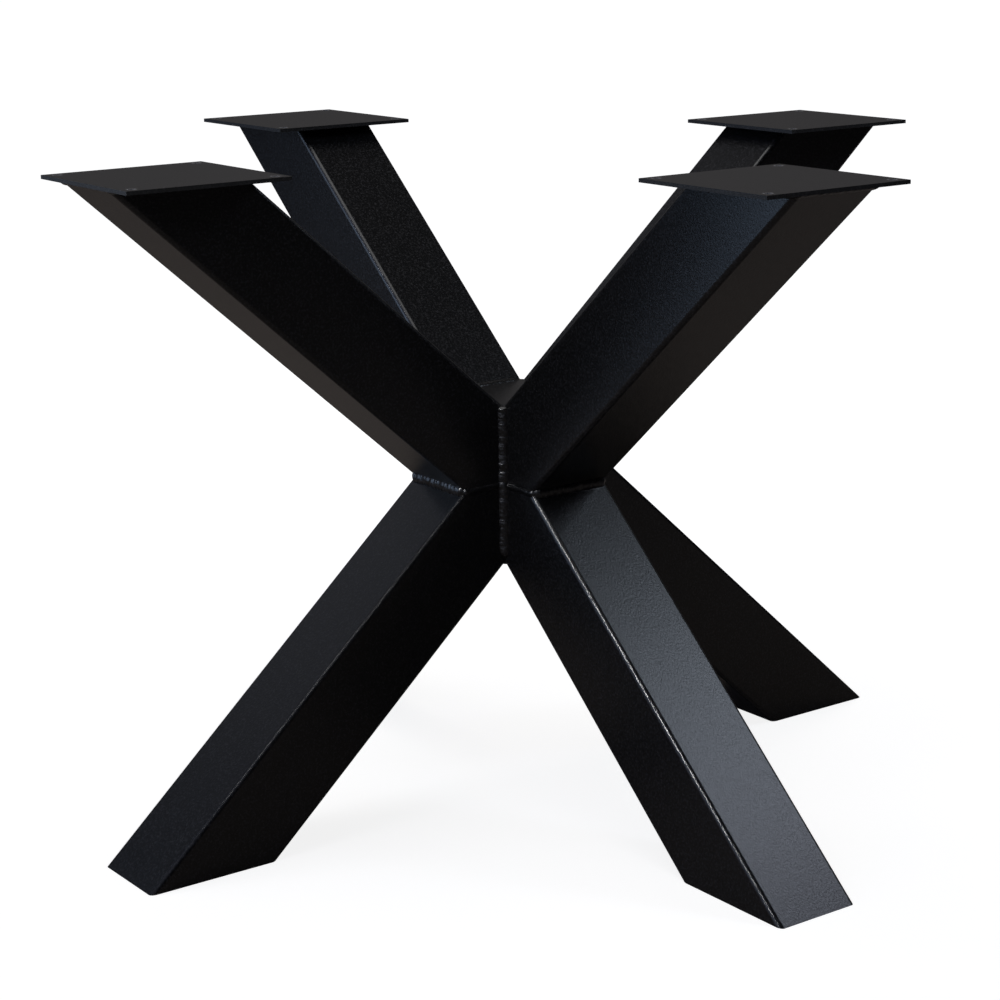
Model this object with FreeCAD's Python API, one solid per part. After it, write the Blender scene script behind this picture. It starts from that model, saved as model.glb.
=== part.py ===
import FreeCAD, Part
import math
import os

# Crossed base for a table top, welded from square steel tube.
# Four arms and four legs stand on the sides of a short upright post. Each arm meets the leg
# below it in a level mitre outside the post, and ends under a square screw plate. The tops of
# the arms and the edges of the post are joined by weld beads that are left as laid.
# Sizes are in millimetres. The origin is on the floor in the middle of the base, with Z up.
# The right limb runs along +X, and the other three are the same limb turned about Z.

# Base as a whole
height = 720.0
mitre_height = 360.0
crotch_reach = 100.0
foot_reach = 500.0
arm_reach = 505.0

# Square tube of the arms, the legs and the post
tube_size = 100.0
tube_wall = 2.5
tube_corner = 5.0

# Plates that close the post and the feet, set flush in the bore
cap_thickness = 4.0
foot_plate_thickness = 4.0

# Screw plates under the table top
plate_width = 180.0
plate_thickness = 4.0
plate_overhang = 3.0
screw_hole = 7.0
screw_inset = 12.0

# Weld beads: the toe is the width on each face, the sink is how far the round lies behind it.
# The wrap is how far a bead on a tube's side runs past the crotch, and the gap is how far a bead
# on the rim of the post stops short of the upright ones.
seam_toe = 7.0
seam_sink = 4.0
crotch_toe = 7.0
crotch_sink = 4.0
crotch_wrap = 3.0
side_toe = 4.5
side_sink = 4.0
rim_toe = 4.0
rim_sink = 5.0
rim_gap = 1.0
plate_weld_leg = 5.0
plate_weld_edge = 0.4

# Worked out from the sizes above
half = tube_size / 2
plate_underside = height - plate_thickness
arm_rise = plate_underside - mitre_height
arm_angle = math.atan2(arm_rise, arm_reach - crotch_reach)
leg_angle = math.atan2(mitre_height, foot_reach - crotch_reach)
plate_middle = arm_reach + plate_overhang - plate_width / 2
bore_size = tube_size - 2 * tube_wall
bore_corner = tube_corner - tube_wall

UP = FreeCAD.Vector(0, 0, 1)
ORIGIN = FreeCAD.Vector(0, 0, 0)
SIDES = {"right": 0, "back": 90, "left": 180, "front": 270}
CORNERS = {"right_back": 0, "back_left": 90, "left_front": 180, "front_right": 270}


def point(x, y, z):
    return FreeCAD.Vector(x, y, z)


def edge_height(angle):
    """How far the far face of a limb lies from the mitre, where it meets the post."""
    return tube_size / math.cos(angle) - (crotch_reach - half) * math.tan(angle)


post_top = mitre_height + edge_height(arm_angle)
post_bottom = mitre_height - edge_height(leg_angle)


def turned(shape, degrees):
    copy = shape.copy()
    copy.rotate(ORIGIN, UP, degrees)
    return copy


def moved(shape, x, y, z):
    copy = shape.copy()
    copy.translate(point(x, y, z))
    return copy


def one_solid(shape):
    """The main solid of a cut, without the slivers that a cut can leave."""
    return max(shape.Solids, key=lambda solid: solid.Volume)


def rounded_outline(low_x, high_x, half_width, corner, z):
    """Rectangle with round corners in a level plane, symmetric about the X axis."""
    reach = corner * math.sqrt(0.5)
    edges = []
    corners = [
        (high_x - corner, half_width - corner, 1, 1),
        (low_x + corner, half_width - corner, -1, 1),
        (low_x + corner, corner - half_width, -1, -1),
        (high_x - corner, corner - half_width, 1, -1),
    ]
    ends = []
    for x, y, side_x, side_y in corners:
        across = point(x + side_x * corner, y, z)
        middle = point(x + side_x * reach, y + side_y * reach, z)
        along = point(x, y + side_y * corner, z)
        first, last = (across, along) if side_x * side_y > 0 else (along, across)
        edges.append(Part.Arc(first, middle, last).toShape())
        ends.append((first, last))
    for index, (first, last) in enumerate(ends):
        edges.append(Part.makeLine(last, ends[(index + 1) % 4][0]))
    return Part.Wire(Part.__sortEdges__(edges))


def square_outline(size, corner):
    return rounded_outline(-size / 2, size / 2, size / 2, corner, 0)


def clipped_corners(low_x, high_x, half_width, corner, z):
    """Corner points of a level rectangle with its corners cut off straight."""
    return [
        point(high_x, half_width - corner, z),
        point(high_x - corner, half_width, z),
        point(low_x + corner, half_width, z),
        point(low_x, half_width - corner, z),
        point(low_x, corner - half_width, z),
        point(low_x + corner, -half_width, z),
        point(high_x - corner, -half_width, z),
        point(high_x, corner - half_width, z),
    ]


def flat_face(points):
    return Part.Face(Part.makePolygon(points + points[:1]))


def flat_sided_solid(low, high):
    """Solid between two outlines that have as many points, with a flat face at each side."""
    faces = [flat_face(low), flat_face(high)]
    for index in range(len(low)):
        faces.append(flat_face([low[index - 1], low[index], high[index], high[index - 1]]))
    return Part.Solid(Part.Shell(faces))


def tube_bar(length):
    outer = square_outline(tube_size, tube_corner)
    return Part.Face(outer).extrude(UP * length)


def bore_bar(length):
    inner = square_outline(bore_size, bore_corner)
    return Part.Face(inner).extrude(UP * length)


def square_bar(length):
    return Part.makeBox(tube_size, tube_size, length, point(-half, -half, 0))


def limb_from(bar, spare, rise, angle):
    """Leans an upright bar to its angle, and cuts it at the post, the mitre and the level end."""
    lean = FreeCAD.Rotation(point(0, 1, 0), 90 - math.degrees(angle))
    along = lean.multVec(UP)
    outward = lean.multVec(point(1, 0, 0))
    foot = point(crotch_reach, 0, 0) - outward * half - along * spare
    leaning = bar.copy()
    leaning.Placement = FreeCAD.Placement(foot, lean)
    reach = crotch_reach + rise / math.tan(angle) + tube_size
    room = Part.makeBox(reach, 2 * tube_size, rise, point(half, -tube_size, 0))
    return one_solid(leaning.common(room))


def make_limb(rise, angle):
    """A limb above the mitre: the tube, and the same without its bore."""
    spare = 2 * tube_size
    length = rise / math.sin(angle) + 2 * spare
    outline = limb_from(tube_bar(length), spare, rise, angle)
    inside = limb_from(bore_bar(length), spare, rise, angle)
    return outline.cut(inside), outline


def make_envelope(rise, angle):
    """A limb above the mitre, with sharp edges in place of the round ones."""
    spare = 2 * tube_size
    length = rise / math.sin(angle) + 2 * spare
    return limb_from(square_bar(length), spare, rise, angle)


def make_arm():
    shapes = make_limb(arm_rise, arm_angle)
    return [moved(shape, 0, 0, mitre_height) for shape in shapes]


def make_leg():
    shapes = make_limb(mitre_height, leg_angle)
    return [moved(shape.mirror(ORIGIN, UP), 0, 0, mitre_height) for shape in shapes]


def make_post():
    length = post_top - post_bottom
    filled = moved(tube_bar(length), 0, 0, post_bottom)
    inside = moved(bore_bar(length), 0, 0, post_bottom)
    return filled.cut(inside), filled


def make_top_cap():
    """Plate that fills the upper end of the post, flush with its rim."""
    return moved(bore_bar(cap_thickness), 0, 0, post_top - cap_thickness)


def clipped_plate(low_x, high_x, corner, bottom, thickness, lean):
    """Plate inside the end of a bore, with corners that clear the corners of the bore."""
    low = clipped_corners(low_x, high_x, bore_size / 2, corner, bottom)
    high = [place + point(-lean, 0, thickness) for place in low]
    return flat_sided_solid(low, high)


def make_bottom_cap():
    edge = bore_size / 2
    return clipped_plate(-edge, edge, bore_corner, post_bottom, cap_thickness, 0)


def make_foot_plate():
    far = foot_reach - tube_wall / math.sin(leg_angle)
    near = far - bore_size / math.sin(leg_angle)
    corner = bore_corner / math.sin(leg_angle)
    lean = foot_plate_thickness / math.tan(leg_angle)
    return clipped_plate(near, far, corner, 0, foot_plate_thickness, lean)


def make_screw_plate():
    edge = plate_width / 2
    plate = Part.makeBox(plate_width, plate_width, plate_thickness, point(-edge, -edge, 0))
    place = edge - screw_inset
    for x in (-place, place):
        for y in (-place, place):
            hole = Part.makeCylinder(screw_hole / 2, plate_thickness, point(x, y, 0), UP)
            plate = plate.cut(hole)
    return moved(plate, plate_middle, 0, plate_underside)


def make_bead(start, end, back, toe, sink, half_opening):
    """A round bead laid along a joint, from start to end, sunk back behind it.
    The opening is the angle between the two faces, through the air."""
    radius = math.sqrt(toe ** 2 + sink ** 2 + 2 * toe * sink * math.cos(half_opening))
    run = end - start
    return Part.makeCylinder(radius, run.Length, start + back * sink, run)


def make_seam_weld(filled):
    """Upright bead in the corner between the right limb and the back limb."""
    back = point(-1, -1, 0).normalize()
    start = point(half, half, post_bottom)
    end = point(half, half, post_top)
    bead = make_bead(start, end, back, seam_toe, seam_sink, math.pi / 4)
    core = Part.makeBox(tube_size, tube_size, height, point(-half, -half, 0))
    return one_solid(bead.cut(filled + [core]))


def make_crotch_weld(seams):
    """Bead along the right limb's mitre: across the crotch, and back to the post on both sides.
    It lies on the flats of the tubes, and closes over their round edges."""
    opening = arm_angle + leg_angle
    inward = point(-1, 0, 0)
    left_end = point(crotch_reach, half, mitre_height)
    right_end = point(crotch_reach, -half, mitre_height)
    beads = [make_bead(right_end, left_end, inward, crotch_toe, crotch_sink, opening / 2)]
    for side in (-1, 1):
        start = point(half, side * half, mitre_height)
        end = point(crotch_reach + crotch_wrap, side * half, mitre_height)
        beads.append(make_bead(start, end, point(0, -side, 0), side_toe, side_sink, math.pi / 2))
    weld = beads[0].fuse(beads[1:])
    arm = moved(make_envelope(arm_rise, arm_angle), 0, 0, mitre_height)
    leg = moved(make_envelope(mitre_height, leg_angle).mirror(ORIGIN, UP), 0, 0, mitre_height)
    return one_solid(weld.cut([arm, leg] + seams))


def make_rim_weld(filled, edge, side, angle):
    """Low bead where a limb's sloping face leaves the end of the post. The side is 1 above."""
    width = half - seam_toe - rim_gap
    opening = math.pi - angle
    slope = opening / 2
    back = point(math.cos(slope), 0, -side * math.sin(slope))
    start = point(half, -width, edge)
    end = point(half, width, edge)
    bead = make_bead(start, end, back, rim_toe, rim_sink, slope)
    return one_solid(bead.cut(filled))


def make_plate_weld(arm_filled):
    """Fillet round the end of an arm, under its screw plate."""
    level = plate_underside
    low = level - plate_weld_leg
    inner = arm_reach - tube_size / math.sin(arm_angle)
    shift = plate_weld_leg / math.tan(arm_angle)
    outer_leg = min(plate_weld_leg, plate_overhang)
    clip = 2 - math.sqrt(2)
    wide = clipped_corners(inner - plate_weld_leg, arm_reach + outer_leg, half + plate_weld_leg,
                           clip * (tube_corner + plate_weld_leg), level)
    narrow = clipped_corners(inner - shift - plate_weld_edge, arm_reach - shift + plate_weld_edge,
                             half + plate_weld_edge, clip * tube_corner, low)
    band = flat_sided_solid(narrow, wide)
    return one_solid(band.cut(arm_filled))


def make_parts():
    arm, arm_filled = make_arm()
    leg, leg_filled = make_leg()
    post, post_filled = make_post()
    here = [arm_filled, leg_filled]
    beside = [turned(shape, 90) for shape in here]
    seam = make_seam_weld(here + beside)
    seams = [seam, turned(seam, -90)]
    limb_parts = {
        "arm": arm,
        "leg": leg,
        "screw_plate": make_screw_plate(),
        "foot_plate": make_foot_plate(),
        "crotch_weld": make_crotch_weld(seams),
        "top_rim_weld": make_rim_weld([arm_filled, post_filled], post_top, 1, arm_angle),
        "bottom_rim_weld": make_rim_weld([leg_filled, post_filled], post_bottom, -1, leg_angle),
        "plate_weld": make_plate_weld(arm_filled),
    }
    parts = {
        "post": post,
        "post_cap_top": make_top_cap(),
        "post_cap_bottom": make_bottom_cap(),
    }
    for name, shape in limb_parts.items():
        for side, degrees in SIDES.items():
            parts[f"{name}_{side}"] = turned(shape, degrees)
    for corner, degrees in CORNERS.items():
        parts[f"seam_weld_{corner}"] = turned(seam, degrees)
    return parts


os.makedirs("parts", exist_ok=True)
for name, shape in make_parts().items():
    shape.exportStep(f"parts/{name}.step")
    print(name, "solids", len(shape.Solids), "volume", round(shape.Volume), "valid", shape.isValid())
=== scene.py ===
import math

import bmesh
import bpy
from mathutils import Matrix, Vector, noise


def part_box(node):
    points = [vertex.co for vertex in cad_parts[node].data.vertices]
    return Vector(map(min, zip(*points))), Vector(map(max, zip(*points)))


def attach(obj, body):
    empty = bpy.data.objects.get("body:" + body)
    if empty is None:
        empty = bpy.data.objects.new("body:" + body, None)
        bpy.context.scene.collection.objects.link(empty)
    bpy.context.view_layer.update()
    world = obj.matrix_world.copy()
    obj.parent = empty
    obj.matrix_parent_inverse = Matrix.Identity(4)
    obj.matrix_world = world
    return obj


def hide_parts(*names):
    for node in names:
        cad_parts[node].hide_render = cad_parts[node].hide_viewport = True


bl_info = {
    "name": "Crossed steel table base",
    "version": (1, 0, 0),
    "blender": (4, 5, 0),
    "location": "3D View > Sidebar > Table base",
    "description": "Coats a welded steel table base, lays its weld beads and sets it in a studio",
    "category": "Object",
}

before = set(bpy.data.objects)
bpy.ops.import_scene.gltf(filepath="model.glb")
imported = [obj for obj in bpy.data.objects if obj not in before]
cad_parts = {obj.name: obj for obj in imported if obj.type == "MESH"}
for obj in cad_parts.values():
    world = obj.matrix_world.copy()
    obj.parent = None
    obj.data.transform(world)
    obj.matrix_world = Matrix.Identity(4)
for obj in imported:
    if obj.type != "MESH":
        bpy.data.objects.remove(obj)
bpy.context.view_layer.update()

# Turn in degrees of each limb from the right one, and of each corner from the one between right and back
SIDES = {"right": 0, "back": 90, "left": 180, "front": 270}
CORNERS = {"right_back": 0, "back_left": 90, "left_front": 180, "front_right": 270}


def tube_shape():
    """Sizes of the welded tubes, read from the right limb and the post."""
    post_low, post_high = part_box("post")
    arm_low, arm_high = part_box("arm_right")
    leg_low, leg_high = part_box("leg_right")
    return {
        "half": post_high.x,
        "top": post_high.z,
        "bottom": post_low.z,
        "mitre": arm_low.z,
        "arm_rise": arm_high.z - arm_low.z,
        "arm_reach": arm_high.x,
        "leg_drop": leg_high.z - leg_low.z,
        "leg_reach": leg_high.x,
        "plate_low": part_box("screw_plate_right")[0],
        "plate_high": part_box("screw_plate_right")[1],
    }


TUBE = tube_shape()

# All lengths below are in metres

# Radius of the tubes' round edges, which no box in the frame gives
TUBE_BEND = 0.005

# Distance of a screw hole's middle from two edges of its plate
HOLE_INSET = 0.012

# Ring round a screw hole, a burr that stands up and is lightened as a painted highlight: where it is full,
# where it ends, and how far it stands up
RING_FULL = 0.0042
RING_END = 0.0062
RING_LIFT = 0.0005

# Length of the slow waves where the powder flowed in the oven
FLOW_WAVE = 0.018

# How much smoother and rougher the coat gets with its grain, and how rough it is on a plate's cut edges
GRAIN_ROUGHNESS = 0.02
CUT_EDGE_ROUGHNESS = 0.62

# The coat on each kind of piece: its roughness, and the height of its grain and of its flow waves
COATS = {
    "powder_coat_on_tube": {"roughness": 0.3, "grain_depth": 0.00016, "wave_depth": 0.000006},
    "powder_coat_on_plate": {"roughness": 0.32, "grain_depth": 0.00009, "wave_depth": 0.00001, "holes": True},
    "powder_coat_on_weld": {"roughness": 0.3, "grain_depth": 0.00008, "wave_depth": 0.00004},
}

# Mesh of a bead: rings of points to one ripple, the fewest rings on a bead, and faces round it
RINGS_PER_RIPPLE = 5
FEWEST_RINGS = 8
BEAD_FACES = 44

# Mesh of a plate weld: rings to one ripple, faces round it, and the radius of the rod that is bent into it
PLATE_RINGS_PER_RIPPLE = 4
PLATE_BEAD_FACES = 24
PLATE_ROD_RADIUS = 0.003

# Uneven spacing of the ripples: its length along the bead, its shift in ripples, and its layer of the noise
DRIFT_LENGTH = 0.011
DRIFT_SHIFT = 1.6
DRIFT_LAYER = 0.3

# How far the ends of a ripple run ahead of its middle, and the share of a ripple that rises
CRESCENT = 0.0016
RISING_SHARE = 0.75

# How closely the swells of a bead follow each other across it
SWELLS_ACROSS = 0.5

# Lumps on the swells: length along the bead, closeness across it, share of the swells' height, shift of seed
LUMP_LENGTH = 0.0031
LUMPS_ACROSS = 2.6
LUMP_SHARE = 0.45
LUMP_SEED = 9.1

# Pits between the lumps, in the same order
PIT_LENGTH = 0.0015
PITS_ACROSS = 5.0
PIT_SHARE = 0.18
PIT_SEED = 4.7

# How far a bead wanders to its sides, over what length, and its layer of the noise
WANDER = 0.0007
WANDER_LENGTH = 0.013
WANDER_LAYER = 5.0

# Least square of a bead's thickness at a rounded end, against 1 along the bead
BLUNT_END = 0.16

# An upright bead starts this far above the point where the legs part
SEAM_START = 0.008

# A bead on a tube's side runs this far into the crotch bead
SIDE_OVERLAP = 0.003

# How deep the middle of a rim bead lies, and its distance from the upright bead
RIM_SINK = 0.005
RIM_GAP = 0.001

# Face of a plate weld: its share of the section's outline, how far it bulges, and its share of the ripples
FACE_SHARE = 0.7
FACE_BULGE = 0.0006
FACE_RIPPLES = 0.5

# How deep the root of a plate weld lies, and how far the weld stays from the edge of the plate
ROOT_DEPTH = 0.0004
PLATE_EDGE_GAP = 0.0004

# Seed of the first bead of each kind, and the step from one limb to the next, so that no two are alike
SEEDS = {
    "seam": (3.1, 7.7),
    "crotch": (41.3, 5.9),
    "mitre_side": (71.9, 5.9),
    "rim": (111.7, 3.7),
    "plate": (151.3, 8.3),
}

# Step of the seed to the beads on either side of a tube, and to the rim beads at the post's top and bottom
MITRE_SIDE_SEED_STEP = 2.3
RIM_SEED_STEP = 20

# Camera: turn, height and roll in degrees, lens and sensor in millimetres
CAMERA = {
    "azimuth": 54.046,
    "elevation": 14.31,
    "roll": -0.756,
    "lens": 86.337,
    "sensor": 36.0,
    "place": (2.09237, -1.53694, 0.98796),
}

# Soft boxes. One with matt or gloss off doesn't show in that share of a surface's light
LAMPS = {
    "back_box": {
        "place": (1.0, 1.55, 2.0), "target": (0.34, 0.0, 0.15), "width": 0.6, "height": 0.6,
        "power": 5.05, "hex_colour": "#e0efff"},
    "side_box": {
        "place": (1.3, 1.75, 2.0), "target": (0.44, 0.0, 0.06), "width": 0.6, "height": 0.6,
        "power": 4.0, "hex_colour": "#e8eaff"},
    "front_strip": {
        "place": (0.46, -1.83, 1.4), "target": (0.12, -0.05, 0.34), "width": 0.9, "height": 0.08,
        "power": 1.35, "hex_colour": "#ffffff", "spread": 26, "matt": False},
    "left_box": {
        "place": (-2.6, -0.6, 2.0), "target": (0.0, 0.0, 0.4), "width": 1.6, "height": 1.6,
        "power": 1.83, "hex_colour": "#e7edff"},
    "low_box": {
        "place": (-1.75, -2.45, 0.8), "target": (0.45, 0.0, 0.63), "width": 1.2, "height": 1.2,
        "power": 10.4, "hex_colour": "#c1dcff", "matt": False},
    "over_box": {
        "place": (-0.3, -0.6, 3.0), "target": (0.0, 0.0, 0.4), "width": 2.0, "height": 2.0,
        "power": 26.5, "hex_colour": "#ffffff"},
    "floor_box": {
        "place": (-0.8, 0.5, 2.6), "target": (-0.8, 0.5, 0.0), "width": 2.0, "height": 2.0,
        "power": 13.0, "hex_colour": "#fff6ee", "gloss": False},
}

# Lit parts of the room: direction, a spread that is narrower for a higher number, and linear colour
WALLS = (
    {"direction": (0.0, -1.0, 0.15), "spread": 4.0, "colour": (0.72, 0.8, 1.1)},
    {"direction": (-0.75, 0.55, 0.42), "spread": 4.0, "colour": (0.116, 0.111, 0.113)},
)

# Paper floor: half its side, where its glow starts to rise and is full, the glow at the base, and its grey
FLOOR_HALF = 40
GLOW_START = 0.7
GLOW_FULL = 1.6
GLOW_AT_BASE = 0.86
PAPER_GREY = 0.35


# Colours

def linear(hex_colour):
    """An sRGB hex colour as the linear colour that the shaders take."""
    channels = [int(hex_colour[i:i + 2], 16) / 255 for i in (1, 3, 5)]
    return [c / 12.92 if c <= 0.04045 else ((c + 0.055) / 1.055) ** 2.4 for c in channels]


def rgba(colour):
    return (colour[0], colour[1], colour[2], 1.0)


# Sizes and colours that a user would change

class WeldSizes(bpy.types.PropertyGroup):
    crotch_reach: bpy.props.FloatProperty(
        name="Crotch reach", description="How far the crotch lies from the middle of the post",
        default=0.1, unit="LENGTH")
    seam_toe: bpy.props.FloatProperty(
        name="Seam toe", description="Width of an upright bead on each tube",
        default=0.007, unit="LENGTH")
    crotch_toe: bpy.props.FloatProperty(
        name="Crotch toe", description="Width of a crotch bead on each tube",
        default=0.008, unit="LENGTH")
    side_toe: bpy.props.FloatProperty(
        name="Side toe", description="Half the width of a bead over a mitre on a tube's side",
        default=0.0036, unit="LENGTH")
    rim_toe: bpy.props.FloatProperty(
        name="Rim toe", description="Width of a low bead on the rim of the post",
        default=0.004, unit="LENGTH")
    sink: bpy.props.FloatProperty(
        name="Sink", description="How far the middle of a bead lies behind its joint",
        default=0.004, unit="LENGTH")
    plate_toe: bpy.props.FloatProperty(
        name="Plate toe", description="Width of a plate weld on the plate and on the arm",
        default=0.0037, unit="LENGTH")
    ripple_pitch: bpy.props.FloatProperty(
        name="Ripple pitch", description="Distance from one ripple of a bead to the next",
        default=0.0028, unit="LENGTH")
    ripple_height: bpy.props.FloatProperty(
        name="Ripple height", description="How far a ripple stands out",
        default=0.00012, unit="LENGTH")
    swell_length: bpy.props.FloatProperty(
        name="Swell length", description="Length of the swells along a bead laid by hand",
        default=0.006, unit="LENGTH")
    swell_height: bpy.props.FloatProperty(
        name="Swell height", description="How far a swell stands out",
        default=0.0009, unit="LENGTH")


class CoatLook(bpy.types.PropertyGroup):
    coat_colour: bpy.props.FloatVectorProperty(
        name="Coat", description="Colour of the powder coat", subtype="COLOR",
        size=3, min=0, max=1, default=linear("#0c0c0d"))
    grain_colour: bpy.props.FloatVectorProperty(
        name="Grain", description="Colour of the lighter grains in the powder coat", subtype="COLOR",
        size=3, min=0, max=1, default=linear("#303032"))
    # The colour of the hole rims is a painted highlight, lighter than the coat, standing in for light caught
    # by the burrs
    rim_highlight_colour: bpy.props.FloatVectorProperty(
        name="Hole rims", description="Colour of the thin coat on the rims of the screw holes",
        subtype="COLOR", size=3, min=0, max=1, default=linear("#707072"))
    grain_size: bpy.props.FloatProperty(
        name="Grain size", description="Width of one grain of the coat's texture",
        default=0.0024, unit="LENGTH")
    floor_colour: bpy.props.FloatVectorProperty(
        name="Floor", description="Colour of the studio floor that the coat reflects", subtype="COLOR",
        size=3, min=0, max=1, default=linear("#857d76"))


# Materials

def add(tree, kind, settings=None, links=None):
    """Adds a node, sets its properties and sockets, and links its inputs."""
    node = tree.nodes.new(kind)
    for name, value in (settings or {}).items():
        if isinstance(name, str) and hasattr(node, name):
            setattr(node, name, value)
        else:
            node.inputs[name].default_value = value
    for name, socket in (links or {}).items():
        tree.links.new(socket, node.inputs[name])
    return node


def new_material(name):
    """An empty node material, with its node tree."""
    material = bpy.data.materials.new(name)
    material.use_nodes = True
    material.node_tree.nodes.clear()
    return material, material.node_tree


def hole_rims(tree, place):
    """Share of the burred rims round the screw holes, which stand up and are lightened as a painted
    highlight.
    It folds the four plates onto one quarter of a plate, so that one hole stands for all."""
    middle = (TUBE["plate_low"].x + TUBE["plate_high"].x) / 2
    inset = (TUBE["plate_high"].x - TUBE["plate_low"].x) / 2 - HOLE_INSET
    parts = add(tree, "ShaderNodeSeparateXYZ", links={0: place})
    width = [add(tree, "ShaderNodeMath", {"operation": "ABSOLUTE"}, {0: parts.outputs[i]}).outputs[0]
             for i in (0, 1)]
    far = add(tree, "ShaderNodeMath", {"operation": "MAXIMUM"}, {0: width[0], 1: width[1]}).outputs[0]
    near = add(tree, "ShaderNodeMath", {"operation": "MINIMUM"}, {0: width[0], 1: width[1]}).outputs[0]
    out = add(tree, "ShaderNodeMath", {"operation": "SUBTRACT", 1: middle}, {0: far}).outputs[0]
    out = add(tree, "ShaderNodeMath", {"operation": "ABSOLUTE"}, {0: out}).outputs[0]
    offset = add(tree, "ShaderNodeCombineXYZ", links={0: out, 1: near}).outputs[0]
    distance = add(tree, "ShaderNodeVectorMath", {"operation": "DISTANCE", 1: (inset, inset, 0)},
                   {0: offset}).outputs["Value"]
    return add(tree, "ShaderNodeMapRange", {
        "interpolation_type": "SMOOTHSTEP", "From Min": RING_END, "From Max": RING_FULL,
    }, {"Value": distance}).outputs["Result"]


def powder_coat(name, look, roughness, grain_depth, wave_depth, holes=False):
    """Matt black polyester powder coat, sprayed and baked on steel.
    It has a fine even grain and slow flow waves, and hides the metal altogether.
    The real grain is under 1 mm wide, too fine to show in the render, so it is drawn coarser."""
    material, tree = new_material(name)
    place = add(tree, "ShaderNodeTexCoord").outputs["Object"]
    grain = add(tree, "ShaderNodeTexNoise", {
        "Scale": 1 / look.grain_size, "Detail": 2.0, "Roughness": 0.55,
    }, {"Vector": place}).outputs["Fac"]
    flow = add(tree, "ShaderNodeTexNoise", {
        "Scale": 1 / FLOW_WAVE, "Detail": 1.0, "Roughness": 0.4,
    }, {"Vector": place}).outputs["Fac"]
    share = add(tree, "ShaderNodeMapRange", {
        "From Min": 0.5, "From Max": 0.7, "To Min": 0.0, "To Max": 0.8,
    }, {"Value": grain}).outputs["Result"]
    colour = add(tree, "ShaderNodeMix", {
        "data_type": "RGBA", 6: rgba(look.coat_colour), 7: rgba(look.grain_colour),
    }, {0: share}).outputs[2]
    rough = add(tree, "ShaderNodeMapRange", {
        "From Min": 0.35, "From Max": 0.65,
        "To Min": roughness - GRAIN_ROUGHNESS, "To Max": roughness + GRAIN_ROUGHNESS,
    }, {"Value": grain}).outputs["Result"]
    waves = add(tree, "ShaderNodeBump", {"Strength": 1.0, "Distance": wave_depth},
                {"Height": flow}).outputs["Normal"]
    bump = add(tree, "ShaderNodeBump", {"Strength": 1.0, "Distance": grain_depth},
               {"Height": grain, "Normal": waves}).outputs["Normal"]
    if holes:
        rim = hole_rims(tree, place)
        # The rims round the holes are lightened by the rim colour: a painted highlight on the burrs, which
        # also stand up as a bump below
        colour = add(tree, "ShaderNodeMix", {"data_type": "RGBA", 7: rgba(look.rim_highlight_colour)},
                     {0: rim, 6: colour}).outputs[2]
        bump = add(tree, "ShaderNodeBump", {"Strength": 1.0, "Distance": RING_LIFT},
                   {"Height": rim, "Normal": bump}).outputs["Normal"]
        # The cut edges of a plate take the coat less smoothly than its flat sides
        facing = add(tree, "ShaderNodeSeparateXYZ", links={
            0: add(tree, "ShaderNodeNewGeometry").outputs["Normal"]}).outputs[2]
        flat = add(tree, "ShaderNodeMath", {"operation": "ABSOLUTE"}, {0: facing}).outputs[0]
        rough = add(tree, "ShaderNodeMix", {2: CUT_EDGE_ROUGHNESS}, {0: flat, 3: rough}).outputs[0]
    shader = add(tree, "ShaderNodeBsdfPrincipled", {
        "IOR": 1.5,
    }, {"Base Color": colour, "Roughness": rough, "Normal": bump}).outputs["BSDF"]
    add(tree, "ShaderNodeOutputMaterial", links={"Surface": shader})
    return material


def plain_view(tree):
    """Rays that see the plain white: the camera's, also through glass. The coat's gloss sees the lit room."""
    rays = add(tree, "ShaderNodeLightPath").outputs
    return add(tree, "ShaderNodeMath", {"operation": "MAXIMUM"}, {
        0: rays["Is Camera Ray"], 1: rays["Is Transmission Ray"]}).outputs[0]


def studio_floor(look):
    """Matt paper sweep. The camera sees it white with a soft shadow, and the coat reflects its colour."""
    material, tree = new_material("paper_floor")
    path = plain_view(tree)
    dull = add(tree, "ShaderNodeBsdfDiffuse", {"Color": rgba(look.floor_colour)}).outputs["BSDF"]
    place = add(tree, "ShaderNodeTexCoord").outputs["Object"]
    distance = add(tree, "ShaderNodeVectorMath", {"operation": "LENGTH"}, {0: place}).outputs["Value"]
    # The shadow shows within about a metre of the base, and the paper is plain white beyond it
    strength = add(tree, "ShaderNodeMapRange", {
        "From Min": GLOW_START, "From Max": GLOW_FULL, "To Min": GLOW_AT_BASE, "To Max": 1.0,
    }, {"Value": distance}).outputs["Result"]
    glow = add(tree, "ShaderNodeEmission", links={"Strength": strength}).outputs["Emission"]
    grey = (PAPER_GREY, PAPER_GREY, PAPER_GREY)
    paper = add(tree, "ShaderNodeBsdfDiffuse", {"Color": rgba(grey)}).outputs["BSDF"]
    seen = add(tree, "ShaderNodeAddShader", links={0: glow, 1: paper}).outputs[0]
    shader = add(tree, "ShaderNodeMixShader", links={0: path, 1: dull, 2: seen}).outputs[0]
    add(tree, "ShaderNodeOutputMaterial", links={"Surface": shader})
    return material


def wall_glow(tree, direction, spread, colour):
    """Light from one side of the room, brightest in its direction and narrower for a higher spread."""
    seen = add(tree, "ShaderNodeTexCoord").outputs["Generated"]
    near = add(tree, "ShaderNodeVectorMath", {"operation": "DOT_PRODUCT", 1: Vector(direction).normalized()},
               {0: seen}).outputs["Value"]
    ahead = add(tree, "ShaderNodeMath", {"operation": "MAXIMUM", 1: 0.0}, {0: near}).outputs[0]
    share = add(tree, "ShaderNodeMath", {"operation": "POWER", 1: spread}, {0: ahead}).outputs[0]
    return add(tree, "ShaderNodeVectorMath", {"operation": "SCALE", 0: colour},
               {"Scale": share}).outputs["Vector"]


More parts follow.
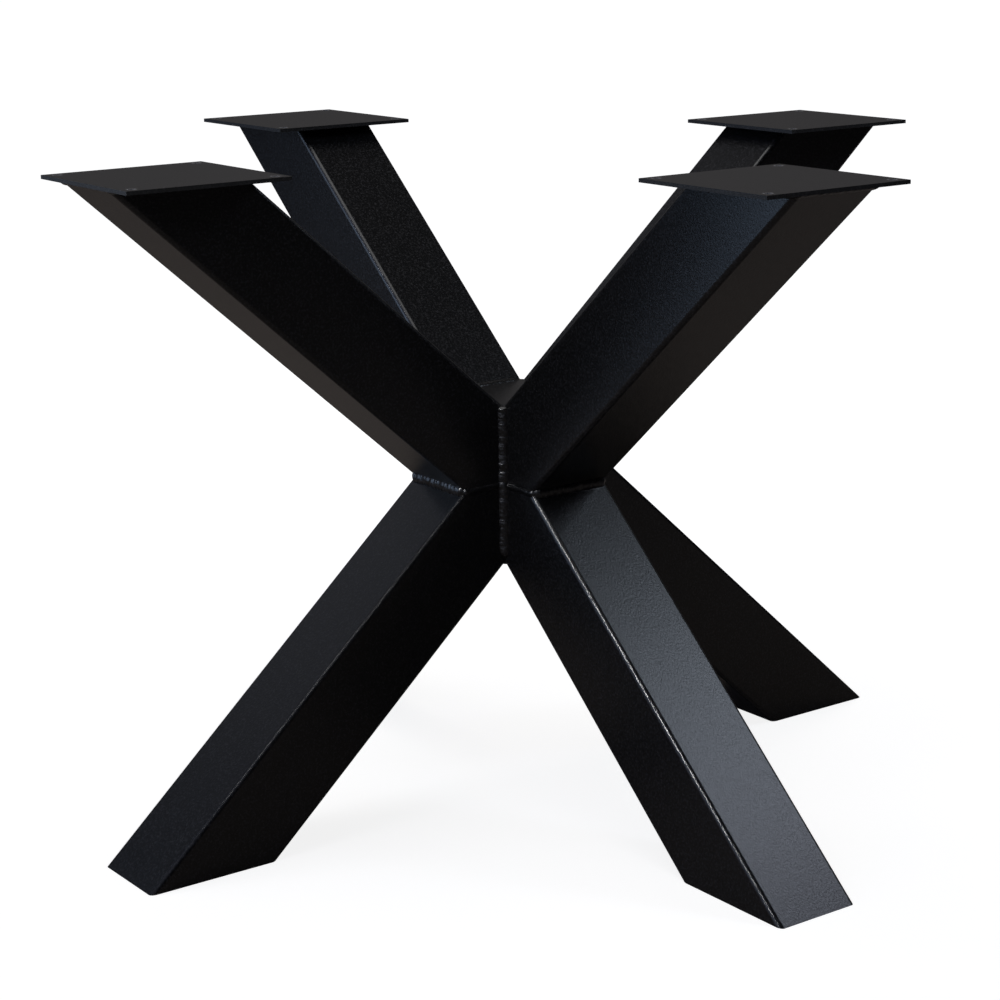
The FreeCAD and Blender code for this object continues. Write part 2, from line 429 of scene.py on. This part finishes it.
def studio_room():
    """A dim room lit from its front and its back corner, seen white by the camera."""
    world = bpy.data.worlds.new("room")
    world.use_nodes = True
    tree = world.node_tree
    tree.nodes.clear()
    path = plain_view(tree)
    glow = wall_glow(tree, **WALLS[0])
    for wall in WALLS[1:]:
        glow = add(tree, "ShaderNodeVectorMath", {"operation": "ADD"},
                   {0: glow, 1: wall_glow(tree, **wall)}).outputs["Vector"]
    room = add(tree, "ShaderNodeBackground", {"Strength": 1.0}, {"Color": glow}).outputs[0]
    white = add(tree, "ShaderNodeBackground", {"Color": (1, 1, 1, 1), "Strength": 1.0}).outputs[0]
    mixed = add(tree, "ShaderNodeMixShader", links={0: path, 1: room, 2: white}).outputs[0]
    add(tree, "ShaderNodeOutputWorld", links={"Surface": mixed})
    return world


def dress(piece, material):
    """Gives a piece the one material that covers it."""
    piece.data.materials.clear()
    piece.data.materials.append(material)


def coat(name):
    """The powder coat of that name, made on first use."""
    found = bpy.data.materials.get(name)
    return found or powder_coat(name, bpy.context.scene.coat_look, **COATS[name])


# Weld beads

def limb_slopes(sizes):
    """Angles that an arm and a leg make with the floor."""
    reach = sizes.crotch_reach
    return (math.atan2(TUBE["arm_rise"], TUBE["arm_reach"] - reach),
            math.atan2(TUBE["leg_drop"], TUBE["leg_reach"] - reach))


def bead_seed(kind, number):
    first, step = SEEDS[kind]
    return first + step * number


def bead_radius(toe, sink, half_opening):
    """Radius of a round bar that lies the sink behind a joint and meets both tubes a toe away from it."""
    return math.sqrt(toe ** 2 + sink ** 2 + 2 * toe * sink * math.cos(half_opening))


def uneven(run, length, seed, across):
    """Smooth noise between -1 and 1 at a place on a bead, with bumps of the length along it."""
    return noise.noise(Vector((run / length, seed, across)))


def ripple(run, side, sizes, seed):
    """Height of a bead's skin at a place along it, from its crescent ripples, swells, lumps and pits.
    The side goes from -1 to 1 across the bead."""
    drift = uneven(run, DRIFT_LENGTH, seed, DRIFT_LAYER)
    phase = (run - CRESCENT * side * side) / sizes.ripple_pitch + DRIFT_SHIFT * drift
    step = phase - math.floor(phase)
    if step < RISING_SHARE:
        crest = step * step * (3 - 2 * step)
    else:
        crest = (1 - step) / (1 - RISING_SHARE)
    swell = uneven(run, sizes.swell_length, seed, side * SWELLS_ACROSS)
    lump = uneven(run, LUMP_LENGTH, seed + LUMP_SEED, side * LUMPS_ACROSS)
    pit = uneven(run, PIT_LENGTH, seed + PIT_SEED, side * PITS_ACROSS)
    return (sizes.ripple_height * (crest - 0.5) + sizes.swell_height * swell
            + LUMP_SHARE * sizes.swell_height * lump + PIT_SHARE * sizes.swell_height * pit)


def rod(length, radius, pitch, segments):
    """A straight rod along Z with rings at the pitch, to be bent into a bead."""
    bar = bmesh.new()
    bmesh.ops.create_cone(bar, cap_ends=True, cap_tris=False, segments=segments,
                          radius1=radius, radius2=radius, depth=length)
    long_edges = [e for e in bar.edges if abs(e.verts[0].co.z - e.verts[1].co.z) > length / 2]
    rings = max(FEWEST_RINGS, int(length / pitch))
    bmesh.ops.subdivide_edges(bar, edges=long_edges, cuts=rings, use_grid_fill=True)
    return bar


def join(mesh, bar):
    """Adds a finished rod to the mesh of its piece."""
    data = bpy.data.meshes.new("bar")
    bar.to_mesh(data)
    bar.free()
    mesh.from_mesh(data)
    bpy.data.meshes.remove(data)


def add_bead(mesh, start, end, back, toe, sink, half_opening, sizes, seed, unevenness, round_ends=(0.8, 0.8)):
    """Adds one bead to a bmesh: a round bar laid from start to end, with a rippled skin.
    Its ripples and swells are multiplied by the unevenness.
    Its ends are rounded over the given shares of its radius."""
    radius = bead_radius(toe, sink, half_opening)
    run = end - start
    length = run.length
    along = run.normalized()
    out = -back.normalized()
    across = along.cross(out)
    bar = rod(length, radius, sizes.ripple_pitch / RINGS_PER_RIPPLE, BEAD_FACES)
    for vert in bar.verts:
        distance = vert.co.z + length / 2
        outward = Vector((vert.co.x, vert.co.y, 0)) / radius
        size = 1 + unevenness * ripple(distance, outward.y, sizes, seed) / radius
        for near_end, share in ((distance, round_ends[0]), (length - distance, round_ends[1])):
            reach = radius * share
            if near_end < reach:
                size *= math.sqrt(max(BLUNT_END, 1 - (1 - near_end / reach) ** 2))
        wander = WANDER * uneven(distance, WANDER_LENGTH, seed, WANDER_LAYER)
        local = outward * radius * size
        vert.co = (start + along * distance - out * sink
                   + out * local.x + across * (local.y + wander))
    join(mesh, bar)


def outline(low_x, high_x, half, bend_x, bend_y):
    """The outline of an arm's level end, clockwise from the middle of its inner side.
    Each stretch has its length. A straight one has its first point and its direction.
    A round one has its middle and its first angle in degrees, and turns by a quarter."""
    flat_x = high_x - low_x - 2 * bend_x
    flat_y = 2 * (half - bend_y)
    turn_length = math.pi / 2 * math.sqrt((bend_x ** 2 + bend_y ** 2) / 2)
    return (
        (flat_y / 2, (low_x, 0), (0, 1)),
        (turn_length, (low_x + bend_x, half - bend_y), 180),
        (flat_x, (low_x + bend_x, half), (1, 0)),
        (turn_length, (high_x - bend_x, half - bend_y), 90),
        (flat_y, (high_x, half - bend_y), (0, -1)),
        (turn_length, (high_x - bend_x, -half + bend_y), 0),
        (flat_x, (high_x - bend_x, -half), (-1, 0)),
        (turn_length, (low_x + bend_x, -half + bend_y), -90),
        (flat_y / 2, (low_x, -half + bend_y), (0, 1)),
    )


def outline_point(stretches, run, bend_x, bend_y):
    """Point and direction at a distance along an outline."""
    length, place, course = stretches[-1]
    for stretch in stretches[:-1]:
        if run <= stretch[0]:
            length, place, course = stretch
            break
        run -= stretch[0]
    if isinstance(course, tuple):
        return (Vector((place[0] + course[0] * run, place[1] + course[1] * run, 0)),
                Vector((course[0], course[1], 0)))
    angle = math.radians(course - 90 * run / length)
    return (Vector((place[0] + bend_x * math.cos(angle), place[1] + bend_y * math.sin(angle), 0)),
            Vector((bend_x * math.sin(angle), -bend_y * math.cos(angle), 0)).normalized())


def turn(mesh, degrees):
    """Turns a mesh about the middle of the base."""
    bmesh.ops.rotate(mesh, cent=(0, 0, 0), matrix=Matrix.Rotation(math.radians(degrees), 3, "Z"),
                     verts=mesh.verts)


def finish_piece(name, mesh, material, *nodes):
    """Makes a bmesh a piece of the base that stands for the CAD nodes."""
    bmesh.ops.recalc_face_normals(mesh, faces=mesh.faces)
    data = bpy.data.meshes.new(name)
    mesh.to_mesh(data)
    mesh.free()
    data.shade_smooth()
    piece = bpy.data.objects.new(name, data)
    bpy.context.scene.collection.objects.link(piece)
    dress(piece, material)
    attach(piece, "root")
    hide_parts(*nodes)
    return piece


class TABLEBASE_OT_tubes(bpy.types.Operator):
    """Coats the arms, the legs, the post and its caps, and the feet"""
    bl_idname = "tablebase.tubes"
    bl_label = "Coat the tubes"

    def execute(self, context):
        for name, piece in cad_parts.items():
            if name.startswith(("arm_", "leg_", "post", "foot_plate_")):
                dress(piece, coat("powder_coat_on_tube"))
        return {"FINISHED"}


class TABLEBASE_OT_screw_plates(bpy.types.Operator):
    """Coats the screw plates under the table top"""
    bl_idname = "tablebase.screw_plates"
    bl_label = "Coat the screw plates"

    def execute(self, context):
        for name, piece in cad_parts.items():
            if name.startswith("screw_plate_"):
                dress(piece, coat("powder_coat_on_plate"))
        return {"FINISHED"}


class TABLEBASE_OT_seam_welds(bpy.types.Operator):
    """Lays the upright beads in the corners between neighbouring limbs"""
    bl_idname = "tablebase.seam_welds"
    bl_label = "Lay the seam welds"

    def execute(self, context):
        sizes = context.scene.weld_sizes
        half = TUBE["half"]
        start = Vector((half, half, TUBE["bottom"] + SEAM_START))
        end = Vector((half, half, TUBE["top"]))
        for number, (corner, degrees) in enumerate(CORNERS.items()):
            mesh = bmesh.new()
            add_bead(mesh, start, end, Vector((-1, -1, 0)), sizes.seam_toe, sizes.sink, math.pi / 4,
                     sizes, bead_seed("seam", number), unevenness=0.8, round_ends=(0.8, 0.4))
            turn(mesh, degrees)
            finish_piece(f"seam_bead_{corner}", mesh, coat("powder_coat_on_weld"),
                         f"seam_weld_{corner}")
        return {"FINISHED"}


class TABLEBASE_OT_crotch_welds(bpy.types.Operator):
    """Lays the beads over the mitres, across each crotch and back to the post"""
    bl_idname = "tablebase.crotch_welds"
    bl_label = "Lay the crotch welds"

    def execute(self, context):
        sizes = context.scene.weld_sizes
        half = TUBE["half"]
        level = TUBE["mitre"]
        reach = sizes.crotch_reach
        arm_slope, leg_slope = limb_slopes(sizes)
        for number, (side, degrees) in enumerate(SIDES.items()):
            mesh = bmesh.new()
            add_bead(mesh, Vector((reach, -half, level)), Vector((reach, half, level)), Vector((-1, 0, 0)),
                     sizes.crotch_toe, sizes.sink, (arm_slope + leg_slope) / 2,
                     sizes, bead_seed("crotch", number), unevenness=1.0)
            for y in (-1, 1):
                start = Vector((half, y * half, level))
                end = Vector((reach + SIDE_OVERLAP, y * half, level))
                seed = bead_seed("mitre_side", number) + MITRE_SIDE_SEED_STEP * y
                add_bead(mesh, start, end, Vector((0, -y, 0)), sizes.side_toe, sizes.sink, math.pi / 2,
                         sizes, seed, unevenness=0.3, round_ends=(0.0, 0.8))
            turn(mesh, degrees)
            finish_piece(f"crotch_bead_{side}", mesh, coat("powder_coat_on_weld"),
                         f"crotch_weld_{side}")
        return {"FINISHED"}


class TABLEBASE_OT_rim_welds(bpy.types.Operator):
    """Lays the low beads where the limbs leave the ends of the post"""
    bl_idname = "tablebase.rim_welds"
    bl_label = "Lay the rim welds"

    def execute(self, context):
        sizes = context.scene.weld_sizes
        half = TUBE["half"]
        width = half - sizes.seam_toe - RIM_GAP
        arm_slope, leg_slope = limb_slopes(sizes)
        ends = (("top", TUBE["top"], 1, arm_slope), ("bottom", TUBE["bottom"], -1, leg_slope))
        for place, level, way, slope in ends:
            half_opening = (math.pi - slope) / 2
            back = Vector((math.cos(half_opening), 0, -way * math.sin(half_opening)))
            for number, (side, degrees) in enumerate(SIDES.items()):
                mesh = bmesh.new()
                add_bead(mesh, Vector((half, -width, level)), Vector((half, width, level)), back,
                         sizes.rim_toe, RIM_SINK, half_opening, sizes,
                         bead_seed("rim", number) + RIM_SEED_STEP * way, unevenness=0.6)
                turn(mesh, degrees)
                finish_piece(f"{place}_rim_bead_{side}", mesh, coat("powder_coat_on_weld"),
                             f"{place}_rim_weld_{side}")
        return {"FINISHED"}


class TABLEBASE_OT_plate_welds(bpy.types.Operator):
    """Lays the fillet welds round the arm ends, under the screw plates"""
    bl_idname = "tablebase.plate_welds"
    bl_label = "Lay the plate welds"

    def execute(self, context):
        sizes = context.scene.weld_sizes
        half = TUBE["half"]
        slope = limb_slopes(sizes)[0]
        down_arm = Vector((-math.cos(slope), 0, -math.sin(slope)))
        level = TUBE["mitre"] + TUBE["arm_rise"]
        high_x = TUBE["arm_reach"]
        low_x = high_x - 2 * half / math.sin(slope)
        bend_x = TUBE_BEND / math.sin(slope)
        stretches = outline(low_x, high_x, half, bend_x, TUBE_BEND)
        length = sum(stretch[0] for stretch in stretches)
        for number, (side, degrees) in enumerate(SIDES.items()):
            mesh = bmesh.new()
            seed = bead_seed("plate", number)
            bar = rod(length, PLATE_ROD_RADIUS, sizes.ripple_pitch / PLATE_RINGS_PER_RIPPLE, PLATE_BEAD_FACES)
            for vert in bar.verts:
                run = vert.co.z + length / 2
                share = math.atan2(vert.co.y, vert.co.x) / math.pi
                point, tangent = outline_point(stretches, min(max(run, 0), length), bend_x, TUBE_BEND)
                point.z = level
                outward = Vector((-tangent.y, tangent.x, 0))
                down = (down_arm - down_arm.dot(tangent) * tangent).normalized()
                on_plate = outward * sizes.plate_toe
                # The plate ends close to the arm's outer side, and the bead stays under it
                on_plate.x = min(on_plate.x, TUBE["plate_high"].x - point.x - PLATE_EDGE_GAP)
                on_arm = down * sizes.plate_toe
                if abs(share) < FACE_SHARE:
                    # The face of the bead, from the plate to the arm
                    step = (share / FACE_SHARE + 1) / 2
                    bulge = (outward + down).normalized() * FACE_BULGE * math.sin(math.pi * step)
                    skin = ripple(run, 2 * step - 1, sizes, seed)
                    local = on_plate.lerp(on_arm, step) + bulge + bulge.normalized() * FACE_RIPPLES * skin
                else:
                    # The root of the bead, a little inside the plate and the arm
                    step = (abs(share) - FACE_SHARE) / (1 - FACE_SHARE)
                    toe = on_arm if share > 0 else on_plate
                    inside = (Vector((0, 0, 1)) - outward) * ROOT_DEPTH
                    local = toe * (1 - step) + inside
                vert.co = point + local
            join(mesh, bar)
            turn(mesh, degrees)
            finish_piece(f"plate_bead_{side}", mesh, coat("powder_coat_on_weld"), f"plate_weld_{side}")
        return {"FINISHED"}


# Stage

def add_lamp(name, place, target, width, height, power, hex_colour, spread=180, matt=True, gloss=True):
    """A soft box that points at its target, with a grid for a narrower spread.
    It shows in the matt share and in the gloss of a surface only where these say so."""
    light = bpy.data.lights.new(name, "AREA")
    light.shape = "RECTANGLE"
    light.size = width
    light.size_y = height
    light.energy = power
    light.spread = math.radians(spread)
    light.color = linear(hex_colour)
    lamp = bpy.data.objects.new(name, light)
    lamp.location = place
    lamp.rotation_euler = (Vector(target) - Vector(place)).to_track_quat("-Z", "Y").to_euler()
    lamp.visible_diffuse = matt
    lamp.visible_glossy = gloss
    bpy.context.scene.collection.objects.link(lamp)


def add_camera():
    """A long lens a little above the plates, turned a little about its own axis."""
    azimuth = math.radians(CAMERA["azimuth"])
    elevation = math.radians(CAMERA["elevation"])
    roll = math.radians(CAMERA["roll"])
    back = Vector((math.sin(azimuth) * math.cos(elevation),
                   -math.cos(azimuth) * math.cos(elevation), math.sin(elevation)))
    right = Vector((math.cos(azimuth), math.sin(azimuth), 0))
    up = back.cross(right)
    x_axis = right * math.cos(roll) + up * math.sin(roll)
    y_axis = up * math.cos(roll) - right * math.sin(roll)
    data = bpy.data.cameras.new("camera")
    data.lens = CAMERA["lens"]
    data.sensor_width = CAMERA["sensor"]
    camera = bpy.data.objects.new("camera", data)
    matrix = Matrix((x_axis, y_axis, back)).transposed().to_4x4()
    matrix.translation = Vector(CAMERA["place"])
    camera.matrix_world = matrix
    bpy.context.scene.collection.objects.link(camera)
    bpy.context.scene.camera = camera


def add_floor(look):
    """A wide level sheet of paper under the feet."""
    mesh = bmesh.new()
    bmesh.ops.create_grid(mesh, x_segments=1, y_segments=1, size=FLOOR_HALF)
    data = bpy.data.meshes.new("floor")
    mesh.to_mesh(data)
    mesh.free()
    floor = bpy.data.objects.new("floor", data)
    bpy.context.scene.collection.objects.link(floor)
    dress(floor, studio_floor(look))


class TABLEBASE_OT_stage(bpy.types.Operator):
    """Sets the camera, the floor, the soft boxes and the room"""
    bl_idname = "tablebase.stage"
    bl_label = "Set the stage"

    def execute(self, context):
        scene = context.scene
        add_camera()
        add_floor(scene.coat_look)
        for name, lamp in LAMPS.items():
            add_lamp(name, **lamp)
        scene.world = studio_room()
        scene.view_settings.view_transform = "Standard"
        return {"FINISHED"}


class TABLEBASE_PT_panel(bpy.types.Panel):
    """Sizes and colours of the base, and the steps that build it"""
    bl_idname = "TABLEBASE_PT_panel"
    bl_label = "Table base"
    bl_space_type = "VIEW_3D"
    bl_region_type = "UI"
    bl_category = "Table base"

    def draw(self, context):
        for group in (context.scene.weld_sizes, context.scene.coat_look):
            for name in group.bl_rna.properties.keys():
                if name not in ("rna_type", "name"):
                    self.layout.prop(group, name)
        for operator in STEPS:
            self.layout.operator(operator.bl_idname)


STEPS = (
    TABLEBASE_OT_tubes,
    TABLEBASE_OT_screw_plates,
    TABLEBASE_OT_seam_welds,
    TABLEBASE_OT_crotch_welds,
    TABLEBASE_OT_rim_welds,
    TABLEBASE_OT_plate_welds,
    TABLEBASE_OT_stage,
)
CLASSES = (WeldSizes, CoatLook, *STEPS, TABLEBASE_PT_panel)


def register():
    for kind in CLASSES:
        bpy.utils.register_class(kind)
    bpy.types.Scene.weld_sizes = bpy.props.PointerProperty(type=WeldSizes)
    bpy.types.Scene.coat_look = bpy.props.PointerProperty(type=CoatLook)


def unregister():
    del bpy.types.Scene.coat_look
    del bpy.types.Scene.weld_sizes
    for kind in reversed(CLASSES):
        bpy.utils.unregister_class(kind)


def main():
    register()
    bpy.ops.tablebase.tubes()
    bpy.ops.tablebase.screw_plates()
    bpy.ops.tablebase.seam_welds()
    bpy.ops.tablebase.crotch_welds()
    bpy.ops.tablebase.rim_welds()
    bpy.ops.tablebase.plate_welds()
    bpy.ops.tablebase.stage()


if __name__ == "__main__":
    main()
